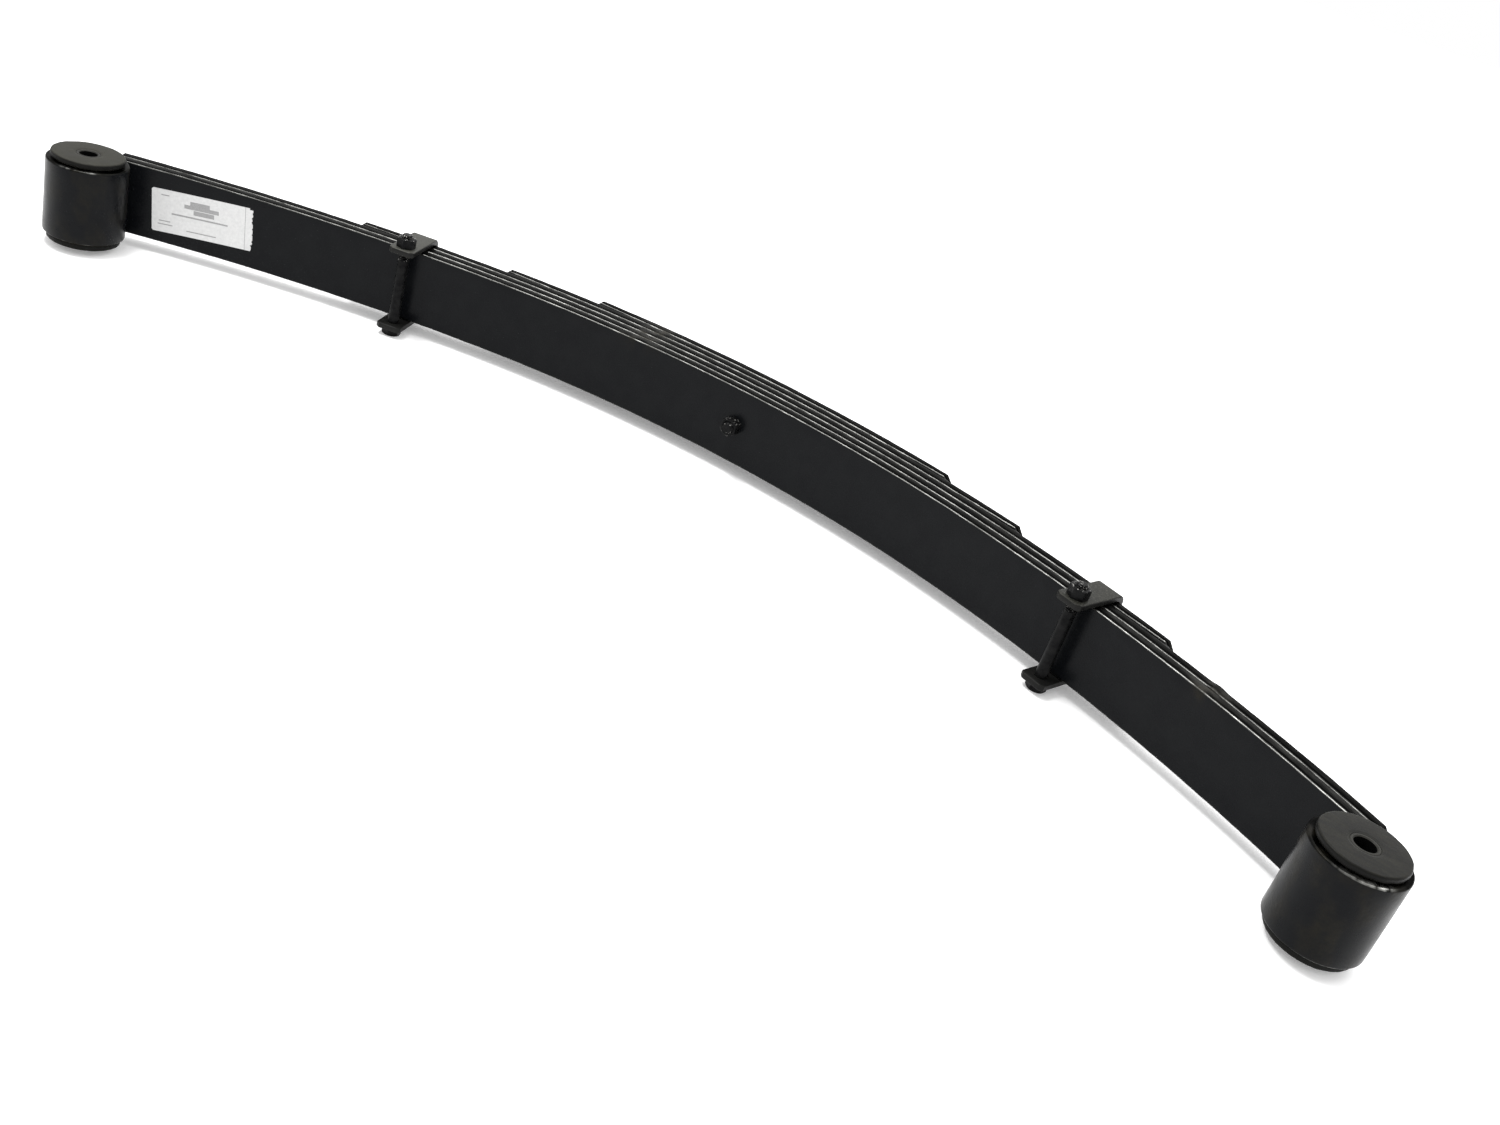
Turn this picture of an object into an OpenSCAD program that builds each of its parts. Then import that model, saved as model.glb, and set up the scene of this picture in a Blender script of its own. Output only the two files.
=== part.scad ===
// Five-leaf truck spring with rubber-bushed eyes and two bolted rebound clips.
// It lies on its edge: X runs along the spring, Y along the centre bolt and Z across the leaves' width.
// The origin is where the centre bolt's head meets the pack, on the convex side, which faces +Y.
// A place along the spring is a distance along the main leaf's concave face, from the centre bolt.

/* [Leaves] */
// Width of every leaf
leaf_width = 63.5; // [55:0.5:76]
// Thickness of every leaf
leaf_thickness = 10.2; // [8:0.1:11]
// Space between two leaves
leaf_gap = 0.3; // [0.2:0.1:1]
// Rounding of a leaf's four long edges
edge_round = 1.8; // [1:0.1:3]
// Radius of the main leaf's concave face in the middle
middle_radius = 940; // [850:5:1100]
// Radius of the main leaf's concave face towards the eyes
end_radius = 1236; // [1150:1:1600]
// Distance from the centre bolt to where the radius changes
middle_half = 250; // [250:5:265]
// Distance from the centre bolt to each eye
eye_half = 595; // [585:1:640]
// Half length of the second leaf
second_half = 587; // [520:1:590]
// Length of the third leaf in front of the centre bolt
third_front_half = 380; // [370:0.5:400]
// Length of the third leaf behind the centre bolt
third_rear_half = 398; // [370:0.5:400]
// Half length of the fourth leaf
fourth_half = 250; // [230:0.5:250]
// Length of the fifth leaf in front of the centre bolt
fifth_front_half = 169; // [140:0.5:200]
// Length of the fifth leaf behind the centre bolt
fifth_rear_half = 175; // [140:0.5:200]
// Cut at the corners of a leaf's tips
corner_cut = 7; // [2:0.5:15]
// Thickness that the short leaves lose at their tips
taper_depth = 3.6; // [3:0.1:4.5]
// Length of the ground taper behind a short leaf's tip
taper_length = 100; // [90:5:110]

/* [Eyes] */
// Outer diameter of a rolled eye
eye_d = 65; // [58:0.5:70]
// How far the leaf's end is rolled round
eye_wrap = 311; // [290:1:312]

/* [Bushings] */
// Height of a bushing over both its flanges
bushing_height = 75.6; // [70:0.2:84]
// Diameter of a bushing's flange
flange_d = 58; // [52:0.5:60]
// Outer diameter of the inner sleeve
sleeve_d = 19.2; // [18:0.1:24]
// Bore of the inner sleeve
bore_d = 14.4; // [12:0.1:16]
// How far the sleeve's ends lie below the flanges' faces
sleeve_recess = 0.4; // [0:0.1:1]

/* [Tip pads] */
// Length of the pad under a short leaf's tip
pad_length = 34; // [20:1:38]
// Distance from the leaf's end to its pad
pad_inset = 2; // [1:0.5:4]

/* [Centre bolt] */
// Diameter of the centre bolt
centre_bolt_d = 9.52; // [8:0.02:12]
// Diameter of its round locating head
centre_head_d = 14.3; // [13:0.1:19]
// Height of its locating head
centre_head_h = 8; // [6:0.5:12]

/* [Rebound clips] */
// Distance from the centre bolt to the front clip
front_clip_half = 320.5; // [300:0.5:335]
// Distance from the centre bolt to the rear clip
rear_clip_half = 333.5; // [300:0.5:335]
// Width of the clip's strap
strap_width = 22; // [20:0.5:30]
// Thickness of the strap
strap_thickness = 4.8; // [4:0.1:6]
// How far the strap's ears reach in front of the main leaf
ear_reach = 21.5; // [20:0.5:26]
// Distance from the main leaf to the clip bolt's axis
clip_bolt_out = 10.5; // [10:0.5:13]
// Diameter of the clip bolt
clip_bolt_d = 9.52; // [8:0.02:10]
// Diameter of the rivet's shank
rivet_d = 9.5; // [8:0.1:10]

/* [Hex nuts] */
// Width of a nut and of a bolt's hexagon, across the flats
hex_af = 14.3; // [14.2:0.1:17]
// Height of a nut
nut_h = 8.3; // [7:0.1:10]
// Height of a clip bolt's hexagonal head
hex_head_h = 6.1; // [5:0.1:7]
// Thread that stands out of a nut
thread_end = 2.8; // [1:0.1:6]

/* [Label] */
// Length of the paper label
label_length = 89; // [60:1:110]
// Height of the paper label
label_height = 38; // [25:1:45]
// Distance from the centre bolt to the label's nearer end
label_start = 459; // [430:1:465]

/* [Hidden] */

// -1 is the front half of the spring, 1 the rear half
FRONT = -1;
REAR = 1;
ARC_FN = 360;
ROUND_FN = 64;
// Clearances: round the centre bolt and the rivets, in a running fit, between bodies, and under a pad
hole_clearance = 0.4;
running_clearance = 0.05;
body_clearance = 0.35;
pad_clearance = 0.02;
strap_side_clearance = 0.5;
paper_thickness = 0.25;
// A bar's end arcs run back into its middle, and an eye's roll into its leaf, by these angles
bar_overlap = 0.4;
eye_overlap = 1;
// Each of them is a hair thinner than what it runs into
seam_inset = 0.03;
// Longer than any cut needs to be
far = 60;

pitch = leaf_thickness + leaf_gap;
// Lengths of each leaf in front of the centre bolt and behind it
main_halves = [eye_half, eye_half];
second_halves = [second_half, second_half];
third_halves = [third_front_half, third_rear_half];
fourth_halves = [fourth_half, fourth_half];
fifth_halves = [fifth_front_half, fifth_rear_half];
pack_thickness = 5 * leaf_thickness + 4 * leaf_gap;
half_width = leaf_width / 2;
eye_inner_r = eye_d / 2 - leaf_thickness;
bushing_half_height = bushing_height / 2;
strap_back = 3 * pitch - leaf_gap + body_clearance;
strap_inner_half = half_width + strap_side_clearance;
strap_outer_half = strap_inner_half + strap_thickness;
strap_inner_round = 3;
strap_outer_round = strap_inner_round + strap_thickness;
ear_corner_cut = 3;
rivet_head_d = 16;
rivet_head_h = 3.5;

// The spring's curve: the middle arc's axis, and the axis of the arc towards the rear eye
middle_axis = [0, -pack_thickness - middle_radius];
change_lean = degrees(middle_half / middle_radius);
end_axis = middle_axis + (middle_radius - end_radius) * outward(change_lean);

function degrees(radians) = radians * 180 / PI;
function clip_half(side) = side == FRONT ? front_clip_half : rear_clip_half;
function on_side(halves, side) = side == FRONT ? halves[0] : halves[1];
// Direction from a curve's axis towards the convex side
function outward(lean) = [sin(lean), cos(lean)];
// How far the leaf leans from the X axis at distance s
function lean_at(s) = s < middle_half
    ? degrees(s / middle_radius)
    : change_lean + degrees((s - middle_half) / end_radius);
// Axis and radius of the main leaf's concave face at distance s
function axis_at(s) = s < middle_half ? middle_axis : end_axis;
function radius_at(s) = s < middle_half ? middle_radius : end_radius;
// Point at distance s, raised by offset towards the convex side
function point_at(s, offset) = axis_at(s) + (radius_at(s) + offset) * outward(lean_at(s));

// Puts its children on the main leaf's concave face: X outwards along the leaf, Y to the convex side
module at(side, s, offset = 0) {
    p = point_at(s, offset);
    mirror([side == FRONT ? 1 : 0, 0, 0])
        translate([p.x, p.y, 0])
            rotate(-lean_at(s))
                children();
}

// Rounded cross-section of a leaf, its inner face at radius r, drawn inset on all sides
module leaf_section(r, inset = 0) {
    e = edge_round;
    t = leaf_thickness - 2 * inset;
    w = leaf_width - 2 * inset;
    translate([r + inset, inset - half_width]) {
        translate([e, 0]) square([t - 2 * e, w]);
        translate([0, e]) square([t, w - 2 * e]);
        for (x = [e, t - e], z = [e, w - e])
            translate([x, z]) circle(r = e, $fn = ROUND_FN);
    }
}

// A leaf's bent bar, without its eyes or tip cuts
module leaf_bar(offset, halves) {
    front_lean = lean_at(min(halves[0], middle_half));
    rear_lean = lean_at(min(halves[1], middle_half));
    translate([middle_axis.x, middle_axis.y, 0])
        rotate_extrude(angle = front_lean + rear_lean, start = 90 - rear_lean, $fn = ARC_FN)
            leaf_section(middle_radius + offset);
    for (side = [FRONT, REAR])
        if (on_side(halves, side) > middle_half)
            mirror([side == FRONT ? 1 : 0, 0, 0])
                translate([end_axis.x, end_axis.y, 0])
                    rotate_extrude(
                        angle = lean_at(on_side(halves, side)) - change_lean + bar_overlap,
                        start = 90 - lean_at(on_side(halves, side)),
                        $fn = ARC_FN
                    )
                        leaf_section(end_radius + offset, seam_inset);
}

// Hole for the centre bolt through the whole pack
module centre_hole() {
    translate([0, 1, 0])
        rotate([90, 0, 0])
            cylinder(r = centre_bolt_d / 2 + hole_clearance, h = pack_thickness + 2, $fn = ROUND_FN);
}

// The four cut corners of a leaf's square ends
module tip_corners(offset, halves) {
    size = corner_cut * sqrt(2);
    for (side = [FRONT, REAR], end = [-1, 1])
        at(side, on_side(halves, side), offset)
            translate([0, 0, end * half_width])
                rotate([0, 45, 0])
                    cube([size, far, size], center = true);
}

// Outline of the flat taper on a leaf's concave face, from behind the tip to its very end
module taper_outline(offset, half) {
    start = point_at(half - taper_length, offset);
    finish = point_at(half, offset + taper_depth);
    reach = 8;
    past = 1 + reach / taper_length;
    polygon([
        start,
        start + past * (finish - start),
        finish - [0, reach],
        start - [0, reach]
    ]);
}

module tip_tapers(offset, halves) {
    for (side = [FRONT, REAR])
        mirror([side == FRONT ? 1 : 0, 0, 0])
            linear_extrude(leaf_width + 2, center = true)
                taper_outline(offset, on_side(halves, side));
}

// One of the three short leaves: the third lies two pitches from the main leaf
module short_leaf(order, halves) {
    offset = (order - 1) * pitch;
    color([0.05, 0.055, 0.06])
        difference() {
            leaf_bar(offset, halves);
            tip_corners(offset, halves);
            tip_tapers(offset, halves);
            centre_hole();
        }
}

// Wedge of plastic between a short leaf's taper and the back of the leaf before it
module tip_pad(side, order, halves) {
    half = on_side(halves, side);
    offset = (order - 1) * pitch;
    start = point_at(half - taper_length, offset);
    run = (point_at(half, offset + taper_depth) - start) / taper_length;
    outer = taper_length - pad_inset;
    inner = outer - pad_length;
    middle = half - pad_inset - pad_length / 2;
    seat = point_at(middle, offset - leaf_gap + pad_clearance);
    along = [cos(lean_at(middle)), -sin(lean_at(middle))];
    color([0.02, 0.02, 0.02])
        mirror([side == FRONT ? 1 : 0, 0, 0])
            linear_extrude(leaf_width - 2 * edge_round, center = true)
                polygon([
                    seat - pad_length / 2 * along,
                    start + inner * run,
                    start + outer * run,
                    seat + pad_length / 2 * along
                ]);
}

module main_leaf() {
    color([0.04, 0.045, 0.05])
        difference() {
            union() {
                leaf_bar(0, main_halves);
                for (side = [FRONT, REAR])
                    at(side, eye_half, -eye_inner_r)
                        rotate_extrude(
                            angle = eye_wrap + eye_overlap,
                            start = 90 - eye_wrap,
                            $fn = 2 * ROUND_FN
                        )
                            leaf_section(eye_inner_r, 2 * seam_inset);
            }
            centre_hole();
        }
}

module second_leaf() {
    color([0.05, 0.055, 0.06])
        difference() {
            leaf_bar(pitch, second_halves);
            tip_corners(pitch, second_halves);
            centre_hole();
        }
}

module third_leaf() {
    difference() {
        short_leaf(3, third_halves);
        for (side = [FRONT, REAR])
            at(side, clip_half(side), 2 * pitch - 1)
                rotate([-90, 0, 0])
                    cylinder(r = rivet_d / 2 + hole_clearance, h = leaf_thickness + 2, $fn = ROUND_FN);
    }
}

module fourth_leaf() {
    short_leaf(4, fourth_halves);
}

module fifth_leaf() {
    short_leaf(5, fifth_halves);
}

// Hexagon with two flats facing along X, height along Z
module hexagon(h) {
    cylinder(d = hex_af / cos(30), h = h, $fn = 6);
}

// Nut with its lower face on the XY plane
module nut(thread_d) {
    difference() {
        hexagon(nut_h);
        translate([0, 0, -1])
            cylinder(r = thread_d / 2 + running_clearance, h = nut_h + 2, $fn = ROUND_FN);
    }
}

module centre_bolt() {
    tip = pack_thickness + nut_h + thread_end;
    chamfer = 1;
    color([0.05, 0.05, 0.055])
        rotate([90, 0, 0]) {
            translate([0, 0, -0.5])
                cylinder(d = centre_bolt_d, h = tip - chamfer + 0.5, $fn = ROUND_FN);
            translate([0, 0, tip - chamfer])
                cylinder(
                    d1 = centre_bolt_d,
                    d2 = centre_bolt_d - 2 * chamfer,
                    h = chamfer,
                    $fn = ROUND_FN
                );
            translate([0, 0, -centre_head_h])
                cylinder(d = centre_head_d, h = centre_head_h, $fn = ROUND_FN);
        }
}

module centre_nut() {
    color([0.05, 0.05, 0.055])
        translate([0, -pack_thickness - running_clearance, 0])
            rotate([90, 0, 0])
                nut(centre_bolt_d);
}

// The strap's U in the plane across the leaf: X to the convex side, Y along the leaf's width
module strap_profile() {
    difference() {
        rounded_back(strap_back + strap_thickness, strap_outer_half, strap_outer_round);
        rounded_back(strap_back, strap_inner_half, strap_inner_round, ear_reach + 1);
    }
}

// Rectangle from the ears' ends to the back, with its two back corners rounded
module rounded_back(back, half, round, reach = ear_reach) {
    translate([-reach, -half]) square([reach + back - round, 2 * half]);
    translate([0, round - half]) square([back, 2 * (half - round)]);
    for (y = [-1, 1])
        translate([back - round, y * (half - round)]) circle(r = round, $fn = ROUND_FN);
}

// The strap's outline from above, its two front corners cut
module strap_outline() {
    c = ear_corner_cut;
    w = strap_width / 2;
    back = strap_back + strap_thickness + 1;
    polygon([
        [-w, back],
        [w, back],
        [w, c - ear_reach],
        [w - c, -ear_reach],
        [c - w, -ear_reach],
        [-w, c - ear_reach]
    ]);
}

module clip_strap(side) {
    color([0.07, 0.072, 0.07])
        at(side, clip_half(side))
            difference() {
                intersection() {
                    rotate([90, 0, 90])
                        linear_extrude(strap_width, center = true)
                            strap_profile();
                    linear_extrude(2 * far, center = true)
                        strap_outline();
                }
                translate([0, -clip_bolt_out, -far])
                    cylinder(r = clip_bolt_d / 2 + running_clearance, h = 2 * far, $fn = ROUND_FN);
                translate([0, strap_back - 2, 0])
                    rotate([-90, 0, 0])
                        cylinder(
                            r = rivet_d / 2 + running_clearance,
                            h = strap_thickness + 4,
                            $fn = ROUND_FN
                        );
            }
}

// The head is under the lower ear and the bare shank crosses in front of the main leaf
module clip_bolt(side) {
    seat = strap_outer_half + running_clearance;
    color([0.05, 0.05, 0.055])
        at(side, clip_half(side))
            translate([0, -clip_bolt_out, 0]) {
                translate([0, 0, -seat - hex_head_h]) hexagon(hex_head_h);
                translate([0, 0, -seat - 0.5])
                    cylinder(d = clip_bolt_d, h = 2 * seat + 0.5 + nut_h + thread_end, $fn = ROUND_FN);
            }
}

module clip_nut(side) {
    color([0.05, 0.05, 0.055])
        at(side, clip_half(side))
            translate([0, -clip_bolt_out, strap_outer_half + running_clearance])
                nut(clip_bolt_d);
}

// From inside the third leaf to the domed head on the strap's back
module clip_rivet(side) {
    inner = 2 * pitch + 0.3;
    back = strap_back + strap_thickness + running_clearance;
    dome_r = (pow(rivet_head_d / 2, 2) + pow(rivet_head_h, 2)) / (2 * rivet_head_h);
    color([0.06, 0.06, 0.06])
        at(side, clip_half(side))
            rotate([-90, 0, 0]) {
                translate([0, 0, inner])
                    cylinder(d = rivet_d, h = back - inner + 0.5, $fn = ROUND_FN);
                intersection() {
                    translate([0, 0, back])
                        cylinder(d = rivet_head_d + 1, h = rivet_head_h, $fn = ROUND_FN);
                    translate([0, 0, back + rivet_head_h - dome_r])
                        sphere(r = dome_r, $fn = 2 * ROUND_FN);
                }
            }
}

// Half a bushing, from the eye's middle up through its flange
module bushing_half(side, up) {
    bore_r = sleeve_d / 2 + running_clearance;
    body_r = eye_inner_r - running_clearance;
    flange_r = flange_d / 2;
    seat = half_width + 0.3;
    top = bushing_half_height;
    undercut = 3;
    color([0.07, 0.072, 0.06])
        at(side, eye_half, -eye_inner_r)
            mirror([0, 0, up ? 0 : 1])
                rotate_extrude($fn = ROUND_FN)
                    polygon([
                        [bore_r, 0.2],
                        [body_r, 0.2],
                        [body_r, seat],
                        [flange_r - undercut, seat],
                        [flange_r, seat + 1.6],
                        [flange_r, top - 1],
                        [flange_r - 1, top],
                        [bore_r, top]
                    ]);
}

module sleeve(side) {
    h = bushing_height - 2 * sleeve_recess;
    color([0.12, 0.12, 0.12])
        at(side, eye_half, -eye_inner_r)
            difference() {
                cylinder(d = sleeve_d, h = h, center = true, $fn = ROUND_FN);
                cylinder(d = bore_d, h = h + 2, center = true, $fn = ROUND_FN);
            }
}

// Paper stuck on the main leaf's concave face, beside the front eye
module label() {
    from = lean_at(label_start);
    to = lean_at(label_start + label_length);
    color([0.9, 0.9, 0.9])
        mirror([1, 0, 0])
            translate([end_axis.x, end_axis.y, 0])
                rotate_extrude(angle = to - from, start = 90 - to, $fn = ARC_FN)
                    translate([end_radius - paper_thickness, -label_height / 2])
                        square([paper_thickness, label_height]);
}

main_leaf();
second_leaf();
third_leaf();
fourth_leaf();
fifth_leaf();
tip_pad(FRONT, 3, third_halves);  // third_leaf_front_pad
tip_pad(REAR, 3, third_halves);  // third_leaf_rear_pad
tip_pad(FRONT, 4, fourth_halves);  // fourth_leaf_front_pad
tip_pad(REAR, 4, fourth_halves);  // fourth_leaf_rear_pad
tip_pad(FRONT, 5, fifth_halves);  // fifth_leaf_front_pad
tip_pad(REAR, 5, fifth_halves);  // fifth_leaf_rear_pad
centre_bolt();
centre_nut();
clip_strap(FRONT);  // front_clip_strap
clip_bolt(FRONT);  // front_clip_bolt
clip_nut(FRONT);  // front_clip_nut
clip_rivet(FRONT);  // front_clip_rivet
clip_strap(REAR);  // rear_clip_strap
clip_bolt(REAR);  // rear_clip_bolt
clip_nut(REAR);  // rear_clip_nut
clip_rivet(REAR);  // rear_clip_rivet
bushing_half(FRONT, true);  // front_bushing_upper
bushing_half(FRONT, false);  // front_bushing_lower
sleeve(FRONT);  // front_sleeve
bushing_half(REAR, true);  // rear_bushing_upper
bushing_half(REAR, false);  // rear_bushing_lower
sleeve(REAR);  // rear_sleeve
label();
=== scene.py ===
import math

import bpy
import numpy as np
from mathutils import Matrix, Vector


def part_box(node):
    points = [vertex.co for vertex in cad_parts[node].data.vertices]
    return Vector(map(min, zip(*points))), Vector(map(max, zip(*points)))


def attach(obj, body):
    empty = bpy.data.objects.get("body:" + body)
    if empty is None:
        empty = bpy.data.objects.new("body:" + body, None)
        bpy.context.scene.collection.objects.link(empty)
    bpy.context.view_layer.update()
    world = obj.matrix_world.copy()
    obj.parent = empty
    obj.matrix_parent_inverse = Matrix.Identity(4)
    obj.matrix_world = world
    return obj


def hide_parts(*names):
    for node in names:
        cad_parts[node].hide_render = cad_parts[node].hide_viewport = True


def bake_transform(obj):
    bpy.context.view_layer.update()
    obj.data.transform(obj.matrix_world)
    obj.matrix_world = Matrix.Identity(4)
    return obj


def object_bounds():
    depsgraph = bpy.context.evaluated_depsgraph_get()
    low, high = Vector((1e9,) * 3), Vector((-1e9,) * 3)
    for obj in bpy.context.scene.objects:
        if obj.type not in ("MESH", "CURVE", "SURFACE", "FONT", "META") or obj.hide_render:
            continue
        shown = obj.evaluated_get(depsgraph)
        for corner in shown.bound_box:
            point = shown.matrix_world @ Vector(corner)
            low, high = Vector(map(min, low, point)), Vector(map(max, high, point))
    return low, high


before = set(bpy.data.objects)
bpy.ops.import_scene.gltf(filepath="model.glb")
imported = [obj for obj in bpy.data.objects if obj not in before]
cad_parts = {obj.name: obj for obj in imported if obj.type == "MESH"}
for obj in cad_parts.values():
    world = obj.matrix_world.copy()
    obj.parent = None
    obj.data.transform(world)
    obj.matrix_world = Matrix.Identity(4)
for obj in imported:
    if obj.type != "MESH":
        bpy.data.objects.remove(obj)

MM = 0.001
cad_box = [[float(x) for x in corner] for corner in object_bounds()]

# ---------------------------------------------------------------- the spring's own sizes, in metres
LEAF_T = 10.2 * MM
LEAF_GAP = 0.3 * MM
PITCH = LEAF_T + LEAF_GAP
PACK_T = 5 * LEAF_T + 4 * LEAF_GAP
HALF_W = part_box("main_leaf")[1].z
EDGE_R = 1.8 * MM
MIDDLE_R = 940 * MM
END_R = 1236 * MM
MIDDLE_HALF = 250 * MM
EYE_HALF = 595 * MM
# lengths in front of the centre bolt and behind it
LEAF_HALVES = {
    "main_leaf": {"front": EYE_HALF, "rear": EYE_HALF},
    "second_leaf": {"front": 587 * MM, "rear": 587 * MM},
    "third_leaf": {"front": 380 * MM, "rear": 398 * MM},
    "fourth_leaf": {"front": 250 * MM, "rear": 250 * MM},
    "fifth_leaf": {"front": 169 * MM, "rear": 175 * MM},
}
LEAVES = list(LEAF_HALVES)
CORNER_CUT = 7 * MM
TAPER_DEPTH = 3.6 * MM
TAPER_LENGTH = 100 * MM
EYE_R = 32.5 * MM
EYE_INNER_R = EYE_R - LEAF_T
EYE_WRAP = 311  # degrees that the main leaf is rolled through
CLIP_HALF = {"front": 320.5 * MM, "rear": 333.5 * MM}
CLIP_BOLT_OUT = 10.5 * MM
BOLT_R = 4.76 * MM
HEX_AF = 14.3 * MM
NUT_H = 8.3 * MM
HEX_HEAD_H = 6.1 * MM
HOLE_R = BOLT_R + 0.05 * MM
THREAD_PITCH = 1.588 * MM
PAD_LENGTH = 34 * MM
PAD_INSET = 2 * MM
STRAP_T = 4.8 * MM
STRAP_W = 22 * MM
EAR_REACH = 21.5 * MM
RIVET_R = 4.7 * MM
SLEEVE_BORE_R = 7.2 * MM
LABEL_LENGTH = 88 * MM
LABEL_HEIGHT = 38 * MM
BURR_AT = 0.443  # along the rear half, a burr on the second leaf's upper edge
# along the main leaf, where the half bends at its two hinges
INNER_BEND = (35 * MM, 305 * MM)
OUTER_BEND = (346 * MM, 548 * MM)
SIDES = {"front": -1, "rear": 1}


# ---------------------------------------------------------------- the spring's curve
def lean_at(s):
    s = np.asarray(s, float)
    change = MIDDLE_HALF / MIDDLE_R
    return np.where(s < MIDDLE_HALF, s / MIDDLE_R, change + (s - MIDDLE_HALF) / END_R)


def outward(lean):
    return np.stack([np.sin(lean), np.cos(lean)], -1)


def point_at(s, offset=0.0):
    """Point in the XY plane, s along the main leaf's concave face, raised towards the convex side."""
    s = np.asarray(s, float)
    middle = np.array([0.0, -PACK_T - MIDDLE_R])
    end = middle + (MIDDLE_R - END_R) * outward(np.array(MIDDLE_HALF / MIDDLE_R))
    inside = (s < MIDDLE_HALF)[..., None]
    axis = np.where(inside, middle, end)
    radius = np.where(inside, MIDDLE_R, END_R)
    return axis + (radius + np.asarray(offset)[..., None]) * outward(lean_at(s))


def to_world(side, s):
    """Frame on the main leaf's concave face: X outwards along the leaf, Y to the convex side, Z up."""
    p, lean = point_at(s), float(lean_at(s))
    m = Matrix.Translation((side * p[0], p[1], 0)) @ Matrix.Rotation(-side * lean, 4, "Z")
    return m @ Matrix.Diagonal((side, 1, 1, 1))


def eye_centre(side):
    return point_at(EYE_HALF, -EYE_INNER_R) * (side, 1)


# ---------------------------------------------------------------- roughness of made surfaces
class Ripple:
    """Smooth noise over a surface: a fixed sum of waves, the same on every run."""

    def __init__(self, seed, shortest, longest, stretch=1.0, count=14):
        rng = np.random.default_rng(seed)
        length = np.exp(rng.uniform(math.log(shortest), math.log(longest), count))
        turn = rng.uniform(0, math.pi, count)
        self.k = np.stack([np.cos(turn) / stretch, np.sin(turn)]) * 2 * math.pi / length
        self.phase = rng.uniform(0, 2 * math.pi, count)
        self.share = 1 / math.sqrt(count / 2)

    def __call__(self, u, v):
        u, v = np.broadcast_arrays(u, v)
        wave = u[..., None] * self.k[0] + v[..., None] * self.k[1] + self.phase
        return np.sin(wave).sum(-1) * self.share


# ---------------------------------------------------------------- meshes
def make(name, verts, faces, sharp=35, run=None, shades=None):
    mesh = bpy.data.meshes.new(name)
    mesh.from_pydata([tuple(v) for v in verts], [], faces)
    mesh.validate()
    obj = bpy.data.objects.new(name, mesh)
    bpy.context.scene.collection.objects.link(obj)
    mesh.polygons.foreach_set("use_smooth", [True] * len(mesh.polygons))
    mesh.set_sharp_from_angle(angle=math.radians(sharp))
    if run is not None:
        layer = mesh.attributes.new("run", "FLOAT_VECTOR", "POINT")
        layer.data.foreach_set("vector", np.asarray(run, np.float32).ravel())
    for key, values in (shades or {}).items():
        layer = mesh.attributes.new(key, "FLOAT", "POINT")
        layer.data.foreach_set("value", np.asarray(values, np.float32).ravel())
    return obj


def grid_faces(rows, count, flip=False, wrap_rows=False):
    """Quads round a stack of closed rings."""
    faces = []
    for j in range(rows if wrap_rows else rows - 1):
        a, b = j * count, (j + 1) % rows * count
        for i in range(count):
            k = (i + 1) % count
            quad = (a + i, a + k, b + k, b + i)
            faces.append(quad[::-1] if flip else quad)
    return faces


def section_template():
    """Points of a leaf's rounded section: shares of its inner and outer face, its half width and rounding."""
    rows = []
    flat = np.linspace(-1, 1, 9)
    arc = np.linspace(0, 1, 6)

    def corner(start, inner, up):
        for t in arc:
            turn = math.radians(start - 90 * t)
            c, s = math.cos(turn), math.sin(turn)
            rows.append((inner, 1 - inner, (1 if inner else -1) + c, up, -up + s, c, s))

    for t in flat[1:-1]:
        rows.append((1, 0, 0, t, -t, -1, 0))
    corner(180, 1, 1)
    for t in (1 / 3, 2 / 3):
        rows.append((1 - t, t, 1 - 2 * t, 1, 0, 0, 1))
    corner(90, 0, 1)
    for t in flat[1:-1]:
        rows.append((0, 1, 0, -t, t, 1, 0))
    corner(0, 0, -1)
    for t in (1 / 3, 2 / 3):
        rows.append((t, 1 - t, 2 * t - 1, -1, 0, 0, -1))
    corner(-90, 1, -1)
    return np.array(rows)


SECTION = section_template()


def bar(name, side, base, normal, inner, outer, half_w, rounding, along, rough=None, shades=None):
    """A bar swept through rings, each with a base point and normal in the XY plane and its own section."""
    ca, cb, ce, cw, cf, no, nz = SECTION.T
    col = lambda x: np.broadcast_to(np.asarray(x, float), (len(base),))[:, None]
    a, b, w, e = col(inner), col(outer), col(half_w), col(rounding)
    o = a * ca + b * cb + e * ce
    z = w * cw + e * cf
    if rough is not None:
        lift = rough(along[:, None] + 0 * o, o, z, no, nz)
        o, z = o + no * lift, z + nz * lift
    xy = base[:, None, :] + o[..., None] * normal[:, None, :]
    verts = np.concatenate([xy * (side, 1), z[..., None]], -1).reshape(-1, 3)
    count = len(SECTION)
    flip = side > 0
    faces = grid_faces(len(base), count, flip)
    first = list(range(count))
    last = list(range((len(base) - 1) * count, len(base) * count))
    faces.append(tuple(first if flip else first[::-1]))
    faces.append(tuple(last[::-1] if flip else last))
    s = along[:, None] + 0 * o
    run = np.stack([s, o, z], -1).reshape(-1, 3)
    layers = {key: rule(s, o, z, no + 0 * o, nz + 0 * o) for key, rule in (shades or {}).items()}
    return make(name, verts, faces, 40, run, layers)


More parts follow.
